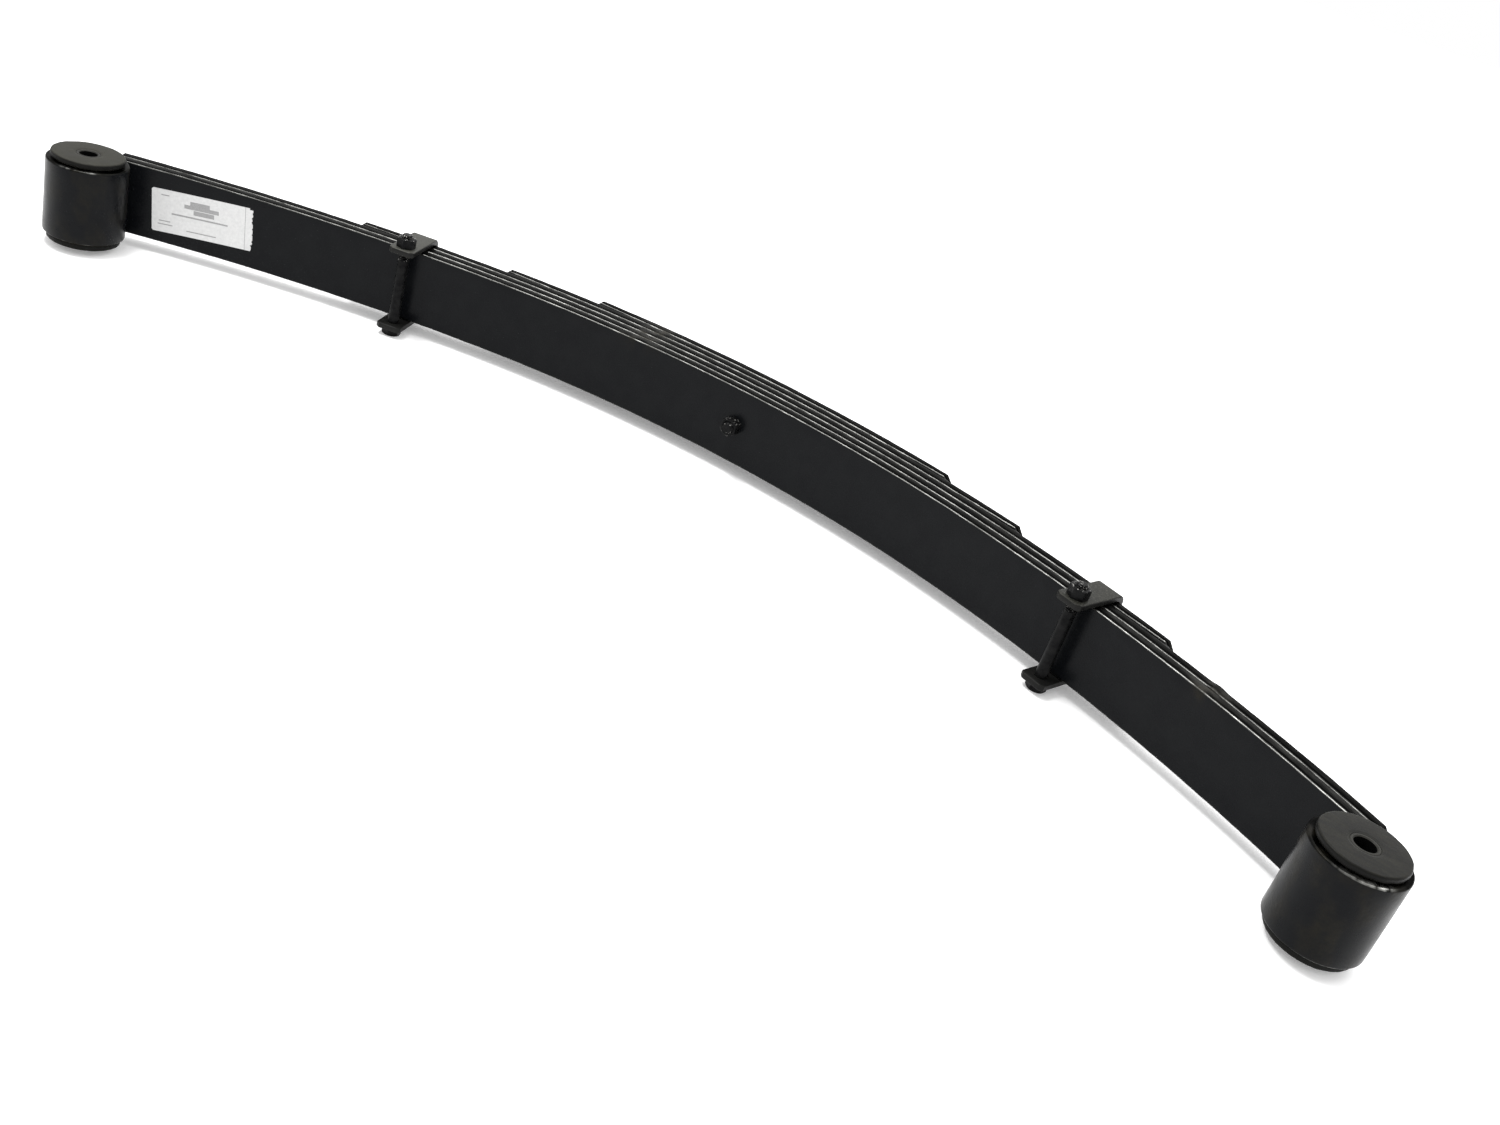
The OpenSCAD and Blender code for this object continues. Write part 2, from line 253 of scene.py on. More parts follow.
def lathe(name, radii, heights, at, segments, loop=False, sharp=35):
    """A turned solid round local Z; radii may change with the angle, and loop joins the two end rings."""
    angle = np.arange(segments) * 2 * math.pi / segments
    rows = []
    for r, h in zip(radii, heights):
        r = r(angle) if callable(r) else r
        h = h(angle) if callable(h) else h
        r, h = np.broadcast_to(r, angle.shape), np.broadcast_to(h, angle.shape)
        rows.append(np.stack([r * np.cos(angle), r * np.sin(angle), h], -1))
    verts = np.concatenate(rows)
    faces = grid_faces(len(rows), segments, False, loop)
    if not loop:
        faces.append(tuple(range(segments))[::-1])
        faces.append(tuple(range((len(rows) - 1) * segments, len(rows) * segments)))
    verts = np.array([at @ Vector(v) for v in verts])
    return make(name, verts, faces, sharp)


def merged(name, objs):
    """One object made of several."""
    verts, faces, start = [], [], 0
    for o in objs:
        verts += [tuple(v.co) for v in o.data.vertices]
        faces += [tuple(start + i for i in p.vertices) for p in o.data.polygons]
        start = len(verts)
        bpy.data.objects.remove(o)
    return make(name, verts, faces, 35)


def hexagon(angle):
    """Radius of a hexagon with flats facing along X at each angle."""
    sixth = math.pi / 3
    return HEX_AF / 2 / np.cos((angle + sixth / 2) % sixth - sixth / 2)


def hex_rings(bottom, height, hole_r=0.0):
    """Profile of a nut or bolt head, chamfered on top, as radii and heights; a nut's goes down its hole."""
    top = bottom + height
    slope = math.tan(math.radians(30))
    flat_r = HEX_AF / 2 * 0.955
    side_r = lambda t: hexagon(t) - 0.12 * MM * np.exp(-(((t + math.pi / 6) % (math.pi / 3)) / 0.04) ** 2)
    chamfer = lambda t: top - np.maximum(hexagon(t) - flat_r, 0) * slope
    radii = [side_r, side_r, side_r, side_r, flat_r, flat_r * 0.99]
    heights = [bottom, bottom + 0.01 * MM, bottom + 0.02 * MM, chamfer, top - 0.02 * MM, top]
    if hole_r:
        radii += [hole_r + 0.5 * MM, hole_r, hole_r, hole_r + 0.5 * MM]
        heights += [top, top - 0.5 * MM, bottom + 0.5 * MM, bottom]
    return radii, heights


def thread_rings(start, finish):
    """Rings of a right-handed thread that fades in from a plain shank and ends in a chamfer."""
    depth, chamfer = 0.62 * THREAD_PITCH, 1.2 * MM
    steps = int(round((finish - start) / (THREAD_PITCH / 10)))
    radii, heights = [], []
    for h in np.linspace(start, finish, steps + 1):
        fade = min(1, max(0, (h - start) / (2 * THREAD_PITCH)))
        end = max(0, h - (finish - chamfer))

        def at_angle(t, h=h, fade=fade, end=end):
            phase = (h / THREAD_PITCH - t / (2 * math.pi)) % 1
            groove = np.clip(1 - np.abs(2 * phase - 1) * 1.25, 0, 1)
            return np.minimum(BOLT_R - fade * depth * groove, BOLT_R - end)

        radii.append(at_angle)
        heights.append(h)
    return radii, heights


# ---------------------------------------------------------------- materials
class Paint:
    """A Principled material with a short way of adding nodes."""

    def __init__(self, name, colour, roughness, metallic=0.0, specular=0.5, coat=0.0, coat_roughness=0.3):
        self.mat = bpy.data.materials.new(name)
        self.mat.use_nodes = True
        self.tree = self.mat.node_tree
        self.out = next(n for n in self.tree.nodes if n.type == "BSDF_PRINCIPLED")
        self.set("Base Color", (*colour, 1))
        self.set("Roughness", roughness)
        self.set("Metallic", metallic)
        self.set("Specular IOR Level", specular)
        self.set("Coat Weight", coat)
        self.set("Coat Roughness", coat_roughness)
        self.where = self.add("TexCoord").outputs["Object"]

    def set(self, socket, value):
        self.out.inputs[socket].default_value = value

    def add(self, kind, props=None, **inputs):
        node = self.tree.nodes.new("ShaderNode" + kind)
        for key, value in (props or {}).items():
            setattr(node, key, value)
        for key, value in inputs.items():
            # an input is given by its name, or by its number after an underscore
            socket = node.inputs[int(key[1:]) if key[0] == "_" else key]
            if isinstance(value, bpy.types.NodeSocket):
                self.tree.links.new(value, socket)
            else:
                socket.default_value = value
        return node

    def link(self, source, socket):
        self.tree.links.new(source, self.out.inputs[socket])

    def math(self, operation, a, b=0.0, c=0.0):
        return self.add("Math", {"operation": operation}, _0=a, _1=b, _2=c).outputs[0]

    def scaled(self, vector, scale):
        return self.add("VectorMath", {"operation": "MULTIPLY"}, _0=vector, _1=scale).outputs[0]

    def noise(self, scale, detail, roughness, vector=None):
        return self.add("TexNoise", None, Vector=vector or self.where, Scale=scale, Detail=detail,
                        Roughness=roughness).outputs["Fac"]

    def ramp(self, fac, *stops):
        """Piecewise-linear map of a factor through (position, value) stops."""
        node = self.add("ValToRGB", None, Fac=fac)
        ramp = node.color_ramp
        while len(ramp.elements) < len(stops):
            ramp.elements.new(0.5)
        for element, (at, value) in zip(ramp.elements, stops):
            element.position = at
            element.color = (*value, 1) if isinstance(value, tuple) else (value, value, value, 1)
        return node.outputs[0]

    def mix(self, fac, a, b):
        node = self.add("Mix", {"data_type": "RGBA"})
        for socket, value in ((node.inputs[0], fac), (node.inputs[6], a), (node.inputs[7], b)):
            if isinstance(value, bpy.types.NodeSocket):
                self.tree.links.new(value, socket)
            else:
                socket.default_value = (*value, 1) if isinstance(value, tuple) else value
        return node.outputs[2]

    def attribute(self, name, output="Fac"):
        return self.add("Attribute", {"attribute_name": name}).outputs[output]

    def up_facing(self):
        """0 on the broad faces, 1 on the narrow top and bottom edges."""
        parts = self.add("SeparateXYZ", None, Vector=self.add("NewGeometry").outputs["Normal"])
        return self.math("ABSOLUTE", parts.outputs["Z"])

    def bump(self, *layers):
        """Bump from (height, strength, distance) layers."""
        normal = None
        for height, strength, distance in layers:
            node = self.add("Bump", None, Strength=strength, Distance=distance, Height=height)
            if normal is not None:
                self.tree.links.new(normal, node.inputs["Normal"])
            normal = node.outputs["Normal"]
        self.link(normal, "Normal")


def spring_paint():
    p = Paint("spring_paint", (0.003, 0.0032, 0.0036), 0.3, specular=0.14)
    # dims the reflection at a flat angle, which would otherwise lift the dark lines between the leaves
    p.set("Specular Tint", (0.5, 0.5, 0.5, 1))
    run = p.attribute("run", "Vector")
    tint = p.math("MULTIPLY", p.attribute("tint"), p.ramp(p.noise(120, 5, 0.65), (0.35, 0.15), (0.65, 1.0)))
    # painted highlight and shade across a leaf's edge, from its concave face at 0 to its convex face at 1: a
    # bright line on the front rounding, a dark band behind it, lighter again towards the back
    painted_edge_light = p.ramp(p.attribute("across"), (0.0, 0.04), (0.03, 0.1), (0.075, 0.1), (0.13, 0.001), (0.27, 0.001),
                  (0.42, 0.012), (0.62, 0.024), (0.82, 0.036), (0.92, 0.044), (1.0, 0.03))
    # breaks in the painted highlight line, and mill-scale streaks along the edge
    broken = p.ramp(p.noise(1.0, 5, 0.7, p.scaled(run, (45, 160, 160))), (0.36, 0.45), (0.6, 1.25))
    streaks = p.ramp(p.noise(1.0, 6, 0.65, p.scaled(run, (90, 700, 700))), (0.35, 0.5), (0.65, 1.4))
    # times the strength of the painted highlight at each place along the leaves
    painted_edge_light = p.math("MULTIPLY", painted_edge_light, p.attribute("painted_highlight"))
    painted_edge_light = p.math("MULTIPLY", painted_edge_light, p.math("MULTIPLY", broken, streaks))
    painted_edge_light = p.math("MINIMUM", painted_edge_light, 0.6)
    edge = p.ramp(p.up_facing(), (0.3, 0.0), (0.6, 1.0))
    scale = p.noise(1.0, 8, 0.7, p.scaled(run, (300, 900, 900)))
    mottle = p.noise(55, 5, 0.6)
    peel = p.noise(900, 3, 0.5)
    specks = p.ramp(p.noise(650, 2, 0.5), (0.68, 0.0), (0.76, 1.0))
    face = p.mix(p.ramp(mottle, (0.3, 0.0), (0.75, 1.0)), (0.0022, 0.0025, 0.0032), (0.0040, 0.0044, 0.0050))
    face = p.mix(p.math("MULTIPLY", specks, 0.3), face, (0.012, 0.012, 0.012))
    # the narrow edges carry the painted highlight and shade over their streaks; the broad faces keep the
    # paint's colour
    painted_light = p.add("CombineColor", None, Red=painted_edge_light, Green=painted_edge_light, Blue=p.math("MULTIPLY", painted_edge_light, 0.95)).outputs[0]
    colour = p.mix(edge, face, painted_light)
    p.link(p.mix(tint, colour, (0.013, 0.011, 0.0065)), "Base Color")
    metal = p.math("MULTIPLY", edge, p.math("SUBTRACT", 0.95, p.math("MULTIPLY", tint, 0.95)))
    p.link(metal, "Metallic")
    rough = p.math("ADD", p.ramp(mottle, (0.3, 0.24), (0.7, 0.31)), p.math("MULTIPLY", tint, 0.2))
    p.link(rough, "Roughness")
    coarse = p.math("MULTIPLY", p.noise(260, 4, 0.6), tint)
    p.bump((peel, 0.1, 0.0002), (p.math("MULTIPLY", scale, edge), 0.15, 0.0004), (coarse, 0.4, 0.0009))
    return p.mat


def rubber():
    p = Paint("bushing_rubber", (0.02, 0.019, 0.016), 0.55, specular=0.08)
    parts = p.add("SeparateXYZ", None, Vector=p.where)
    # paler cloudy patches and grit on the rubber, more of them towards the front end
    frontmost = p.ramp(p.math("MULTIPLY_ADD", parts.outputs["X"], -0.5, 0.5), (0.3, 0.05), (0.7, 1.0))
    pale_patches = p.math("MULTIPLY", p.ramp(p.noise(35, 6, 0.65), (0.3, 0.35), (0.7, 1.0)), frontmost)
    fine = p.noise(700, 4, 0.6)
    smear = p.ramp(p.noise(1.0, 5, 0.7, p.scaled(p.where, (90, 240, 90))), (0.4, 0.0), (0.62, 1.0))
    colour = p.mix(pale_patches, (0.006, 0.0059, 0.0052), (0.038, 0.037, 0.031))
    colour = p.mix(p.math("MULTIPLY", smear, 0.35), colour, (0.022, 0.021, 0.014))
    grit = p.math("MULTIPLY", p.ramp(fine, (0.6, 0.0), (0.75, 0.6)), pale_patches)
    colour = p.mix(grit, colour, (0.07, 0.068, 0.06))
    # painted shade: the sides and the bore are painted near black, only the faces that look up or down keep
    # the rubber's colour
    flat = p.ramp(p.up_facing(), (0.35, 0.0), (0.85, 1.0))
    p.link(p.mix(flat, (0.004, 0.004, 0.0035), colour), "Base Color")
    p.link(p.ramp(pale_patches, (0.0, 0.38), (1.0, 0.66)), "Roughness")
    p.bump((fine, 0.25, 0.0003), (p.noise(60, 3, 0.5), 0.3, 0.0008))
    return p.mat


def clip_metal():
    p = Paint("clip_phosphate", (0.03, 0.031, 0.026), 0.42, metallic=0.2, specular=0.1)
    cloud = p.noise(45, 5, 0.6)
    grain = p.noise(1100, 4, 0.6)
    lines = p.noise(1.0, 4, 0.6, p.scaled(p.where, (900, 60, 900)))
    # the up-facing surfaces high on the strap get a lighter dusty colour, partly dust and partly painted
    # light; its sides and the lower ear stay near black as painted shade
    upper = p.ramp(p.up_facing(), (0.4, 0.0), (0.8, 1.0))
    top = p.mix(p.ramp(cloud, (0.3, 0.0), (0.7, 1.0)), (0.008, 0.0082, 0.0068), (0.022, 0.022, 0.018))
    top = p.mix(p.ramp(p.noise(620, 3, 0.65), (0.5, 0.0), (0.7, 0.7)), top, (0.065, 0.064, 0.055))
    side = p.mix(cloud, (0.005, 0.005, 0.005), (0.014, 0.014, 0.013))
    at = p.add("SeparateXYZ", None, Vector=p.where).outputs
    # lighter towards the front end
    frontmost = p.ramp(p.math("MULTIPLY_ADD", at["X"], -1.0, 0.5), (0.3, 0.0), (0.7, 0.4))
    top = p.mix(frontmost, top, (0.085, 0.085, 0.075))
    high = p.ramp(p.math("MULTIPLY", at["Z"], 10.0), (0.0, 0.0), (0.3, 1.0))
    p.link(p.mix(p.math("MULTIPLY", upper, high), side, top), "Base Color")
    p.link(p.ramp(cloud, (0.3, 0.36), (0.7, 0.52)), "Roughness")
    p.bump((grain, 0.25, 0.0003), (lines, 0.15, 0.0004))
    return p.mat


def fastener_metal():
    p = Paint("black_oxide", (0.008, 0.008, 0.009), 0.3, metallic=0.2, specular=0.05)
    cloud = p.noise(180, 5, 0.6)
    colour = p.mix(p.ramp(cloud, (0.35, 0.0), (0.7, 1.0)), (0.0025, 0.0025, 0.0028), (0.009, 0.009, 0.009))
    # painted glints: pale spots on the up-facing facets and edges of the black oxide
    painted_light = p.ramp(p.noise(620, 2, 0.5), (0.6, 0.0), (0.68, 1.0))
    painted_light = p.math("MULTIPLY", painted_light, p.ramp(p.up_facing(), (0.2, 0.0), (0.5, 1.0)))
    colour = p.mix(painted_light, colour, (0.30, 0.295, 0.28))
    p.link(colour, "Base Color")
    p.link(p.ramp(cloud, (0.3, 0.2), (0.7, 0.4)), "Roughness")
    p.bump((p.noise(1200, 3, 0.6), 0.15, 0.0002))
    return p.mat


def sleeve_metal():
    p = Paint("sleeve_phosphate", (0.03, 0.029, 0.025), 0.5, metallic=0.2, specular=0.12)
    cloud = p.noise(220, 4, 0.6)
    face = p.mix(p.ramp(cloud, (0.3, 0.0), (0.7, 1.0)), (0.014, 0.0137, 0.0118), (0.03, 0.029, 0.025))
    # painted shade: the walls, the bore among them, are painted near black; the end faces keep the
    # phosphate's colour
    p.link(p.mix(p.ramp(p.up_facing(), (0.2, 0.0), (0.6, 1.0)), (0.0015, 0.0015, 0.0015), face), "Base Color")
    p.link(p.ramp(cloud, (0.3, 0.42), (0.7, 0.6)), "Roughness")
    p.bump((p.noise(1.0, 3, 0.6, p.scaled(p.where, (300, 300, 2500))), 0.15, 0.0002))
    return p.mat


def pad_plastic():
    p = Paint("pad_plastic", (0.012, 0.012, 0.012), 0.55, specular=0.4)
    cloud = p.noise(150, 4, 0.6)
    p.link(p.mix(cloud, (0.008, 0.008, 0.008), (0.018, 0.018, 0.018)), "Base Color")
    p.link(p.ramp(cloud, (0.3, 0.5), (0.7, 0.65)), "Roughness")
    p.bump((p.noise(900, 3, 0.5), 0.2, 0.0002))
    return p.mat


def paper():
    p = Paint("label_paper", (0.75, 0.75, 0.745), 0.5, specular=0.4, coat=0.15, coat_roughness=0.25)
    fibre = p.noise(400, 6, 0.7)
    cloudy = p.ramp(fibre, (0.3, 0.0), (0.7, 1.0))
    p.link(p.mix(cloudy, (0.44, 0.44, 0.44), (0.54, 0.54, 0.535)), "Base Color")
    p.link(p.ramp(fibre, (0.3, 0.45), (0.7, 0.58)), "Roughness")
    p.bump((p.noise(1500, 3, 0.6), 0.08, 0.0001), (p.noise(50, 2, 0.5), 0.25, 0.0006))
    return p.mat


def ink():
    p = Paint("label_ink", (0.2, 0.2, 0.2), 0.55, specular=0.35)
    p.link(p.mix(p.noise(900, 4, 0.7), (0.14, 0.14, 0.14), (0.34, 0.34, 0.34)), "Base Color")
    p.bump((p.noise(1500, 3, 0.6), 0.08, 0.0001))
    return p.mat


MATERIALS = {
    "spring_steel": spring_paint(),
    "bushing_rubber": rubber(),
    "clip_steel": clip_metal(),
    "fastener_steel": fastener_metal(),
    "sleeve_steel": sleeve_metal(),
    "pad_plastic": pad_plastic(),
    "label_paper": paper(),
}
INK = ink()


def finish_piece(obj, node, slot, body=None, bend=None):
    """Gives a piece its finish and hides the CAD node it stands for; a piece with a body is parented to it,
    one given a bend only has its placement baked in.
    """
    obj.data.materials.append(MATERIALS[slot])
    if bend:
        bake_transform(obj)
    else:
        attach(obj, body)
    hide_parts(node)
    return obj


def bend_zone(side_name, outer):
    """The bodies and the two places between which this half's leaves bend: inside or outside the clip."""
    side = SIDES[side_name]
    places = [point_at(s, 10 * MM) * (side, 1) for s in (OUTER_BEND if outer else INNER_BEND)]
    bodies = (side_name + "_arm", side_name + "_eye") if outer else ("pack", side_name + "_arm")
    return (*bodies, *[(float(x), float(y), 0.0) for x, y in places])


# ---------------------------------------------------------------- leaves
def taper_face(offset, half, s):
    """Height of the concave face above the main leaf's, with the flat taper near a short leaf's tip."""
    start, finish = point_at(half - TAPER_LENGTH, offset), point_at(half, offset + TAPER_DEPTH)
    across = np.array([-(finish - start)[1], (finish - start)[0]])
    base, n = point_at(s), outward(lean_at(s))
    flat = ((start - base) @ across) / (n @ across)
    return np.where(s > half - TAPER_LENGTH, np.maximum(flat, offset), offset)


def leaf_rough(order, side):
    """Height of the rolled edges' scale and of the broad faces' slight waves."""
    # both halves share the ripples, so that they meet at the centre bolt
    long_wave = Ripple(10 + order, 14 * MM, 60 * MM, 2.5)
    short_wave = Ripple(20 + order, 2.5 * MM, 9 * MM, 2.0)
    nick = Ripple(30 + order, 6 * MM, 26 * MM, 1.0)

    def rough(s, o, z, no, nz):
        u = side * s
        edge = np.clip((np.abs(z) - (HALF_W - 1.6 * EDGE_R)) / EDGE_R, 0, 1)
        corner = np.abs(no * nz) * 2
        nicks = np.clip(nick(u, z + o) - 1.5, 0, 1)
        lift = 0.04 * MM * long_wave(u, z) * (0.3 + edge)
        lift = lift + edge * (0.03 * MM * short_wave(u, o + z) - 0.1 * MM * corner * nicks)
        if order == 2 and side > 0:
            burr = np.exp(-(((s - BURR_AT) / (5 * MM)) ** 2)) * np.clip(z / HALF_W, 0, 1) ** 4
            lift = lift + 0.9 * MM * burr * edge
        return lift

    return rough


def leaf_tint(order, side):
    """How brown and dull the finish is: at a few worn places, and on the main leaf's rolled eyes."""
    worn_places = ((BURR_AT, 0.012), (-0.104, 0.014))
    cloud = Ripple(40 + order, 12 * MM, 45 * MM, 1.0)
    streak = Ripple(50 + order, 5 * MM, 22 * MM, 2.0)

    def tint(s, o, z, no, nz):
        patch = 0 * s
        for centre, reach in worn_places:
            near = np.exp(-(((side * s - centre) / reach) ** 2))
            patch = patch + near * np.clip(z / HALF_W, 0, 1) ** 6 * (0.6 + 0.4 * streak(side * s, o))
        if order == 1:
            rolled = np.clip((s - EYE_HALF) / (20 * MM), 0, 1)
            share = 0.5 if side > 0 else 0.35
            patch = patch + rolled * share * np.clip(0.5 + 0.9 * cloud(side * s, z), 0, 1)
        return np.clip(patch, 0, 1)

    return tint


def leaf_painted_highlight(order, side):
    """Strength of the painted highlight on the long edges: even along the leaves, brighter towards the main
    leaf's rear end, and painted glints at fixed places round a rolled eye.
    """
    # painted glints: degrees round the eye, reach in degrees, strength
    painted_glints = ((112, 9, 9), (128, 12, 6), (150, 14, 3)) if side > 0 else ((170, 10, 3.5), (204, 7, 3))
    speckle = Ripple(60 + (side > 0), 2.5 * MM, 7 * MM)

    def painted_highlight(s, o, z, no, nz):
        turn = np.degrees((s - EYE_HALF) / (EYE_INNER_R + LEAF_T / 2))
        eye = 0.15 + 0 * s
        for centre, reach, height in painted_glints:
            spot = np.exp(-(((turn - centre) / reach) ** 2))
            eye = eye + height * spot * np.clip(0.7 + 0.5 * speckle(s, o), 0, 1)
        # a painted highlight on the roll's end
        eye = eye + 1.2 * np.clip((turn - 296) / 10, 0, 1)
        rolled = np.clip(turn / 12, 0, 1)
        # along the leaves an even painted highlight, brighter towards the main leaf's rear end
        straight = 0.65 + (0.4 * np.clip((side * s - 0.2) / 0.15, 0, 1) if order == 1 else 0)
        return straight * (1 - rolled) + rolled * eye

    return painted_highlight


def leaf_places(order, half, split, outer):
    """Distances at which a segment of a half leaf has its rings."""
    first, last = (split, half) if outer else (0.0, min(half, split))
    ring_step = 2.5 * MM
    count = max(2, int(math.ceil((last - first) / ring_step)))
    places = np.linspace(first, last, count + 1)
    if order > 1 and last == half:
        places = places[places < half - CORNER_CUT - 1 * MM]
        cut = [CORNER_CUT + 0.4 * MM, CORNER_CUT, CORNER_CUT - 0.4 * MM]
        tip = cut + [5 * MM, 3 * MM, 1.2 * MM, 0.5 * MM, 0.15 * MM, 0]
        places = np.append(places, half - np.array(tip))
    return places


def leaf_segment(order, side_name, outer):
    node = LEAVES[order - 1]
    side, half = SIDES[side_name], LEAF_HALVES[node][side_name]
    offset = (order - 1) * PITCH
    s = leaf_places(order, half, CLIP_HALF[side_name], outer)
    base, normal, along = point_at(s), outward(lean_at(s)), s
    inner = taper_face(offset, half, s) if order > 2 else np.full(len(s), offset)
    thick = np.full(len(s), offset + LEAF_T)
    half_w = np.full(len(s), HALF_W)
    at_tip = order > 1 and s[-1] == half
    if at_tip:
        cut = np.clip(s - (half - CORNER_CUT), 0, None)
        worn = np.where(half - s < 0.6 * MM, 0.6 * MM * (1 - (half - s) / (0.6 * MM)) ** 2, 0)
        half_w = half_w - cut - worn * 0.7
        inner, thick = inner + worn * 0.6, thick - worn * 0.7
    elif order == 1 and outer:
        turn = np.append(np.arange(3, EYE_WRAP - 2, 3.0), EYE_WRAP - np.array([2, 1, 0.4, 0]))
        phi = np.radians(90 - turn)
        lean = float(lean_at(EYE_HALF))
        centre = point_at(EYE_HALF, -EYE_INNER_R)
        roll = outward(lean + math.pi / 2 - phi)
        arc = np.radians(turn) * (EYE_INNER_R + LEAF_T / 2)
        base = np.concatenate([base, centre + EYE_INNER_R * roll])
        normal = np.concatenate([normal, roll])
        along = np.concatenate([along, EYE_HALF + arc])
        left = (turn[-1] - turn) / 2.0
        worn = np.where(left < 1, 1.1 * MM * (1 - left) ** 2, 0)
        inner = np.concatenate([inner, worn])
        thick = np.concatenate([thick, LEAF_T - worn])
        half_w = np.concatenate([half_w, HALF_W - worn])
    name = f"{node}_{side_name}_{'end' if outer else 'arm'}"
    shades = {
        "tint": leaf_tint(order, side),
        # strength of the painted highlight along each edge, with painted glints round the eyes
        "painted_highlight": leaf_painted_highlight(order, side),
        "across": lambda s, o, z, no, nz: (o - inner[:, None]) / (thick - inner)[:, None],
    }
    obj = bar(name, side, base, normal, inner, thick, half_w, EDGE_R, along, leaf_rough(order, side), shades)
    return finish_piece(obj, node, "spring_steel", bend=bend_zone(side_name, outer))


def tip_pad(order, side_name):
    """The plastic wedge in a short leaf's taper, its faces following the two leaves."""
    half = LEAF_HALVES[LEAVES[order - 1]][side_name]
    offset = (order - 1) * PITCH
    s = np.linspace(half - PAD_INSET - PAD_LENGTH, half - PAD_INSET, 16)
    low = offset - LEAF_GAP + 0.05 * MM
    high = taper_face(offset, half, s) - 0.04 * MM
    shrink = np.zeros(len(s))
    shrink[[0, -1]] = 0.3 * MM
    node = f"{LEAVES[order - 1]}_{side_name}_pad"
    obj = bar(node + "_moulded", SIDES[side_name], point_at(s), outward(lean_at(s)), low + shrink * 0.4,
              high - shrink * 0.4, HALF_W - EDGE_R - shrink, 0.25 * MM, s)
    return finish_piece(obj, node, "pad_plastic", bend=bend_zone(side_name, order == 3))


for side_name in SIDES:
    for order in range(1, 6):
        leaf_segment(order, side_name, False)
        if order <= 3:
            leaf_segment(order, side_name, True)
        if order >= 3:
            tip_pad(order, side_name)


# ---------------------------------------------------------------- centre bolt and nut
down = Matrix.Rotation(math.radians(90), 4, "X")  # local Z along -Y, from the head to the nut


def centre_bolt():
    head_r = (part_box("centre_bolt")[1].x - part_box("centre_bolt")[0].x) / 2
    head_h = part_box("centre_bolt")[1].y
    end = -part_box("centre_bolt")[0].y
    r = [head_r - 1.4 * MM, head_r - 0.5 * MM, head_r, head_r, head_r - 0.2 * MM, BOLT_R]
    h = [-head_h, -head_h + 0.25 * MM, -head_h + 0.9 * MM, -0.3 * MM, 0, 0]
    threads = thread_rings(end - 20 * MM, end)
    obj = lathe("centre_bolt_turned", r + threads[0], h + threads[1], down, 48)
    return finish_piece(obj, "centre_bolt", "fastener_steel", "pack")


def centre_nut():
    seat = -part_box("centre_nut")[1].y
    radii, heights = hex_rings(seat, NUT_H, HOLE_R)
    obj = lathe("centre_nut_hex", radii, heights, down, 72, loop=True)
    return finish_piece(obj, "centre_nut", "fastener_steel", "pack")


centre_bolt()
centre_nut()


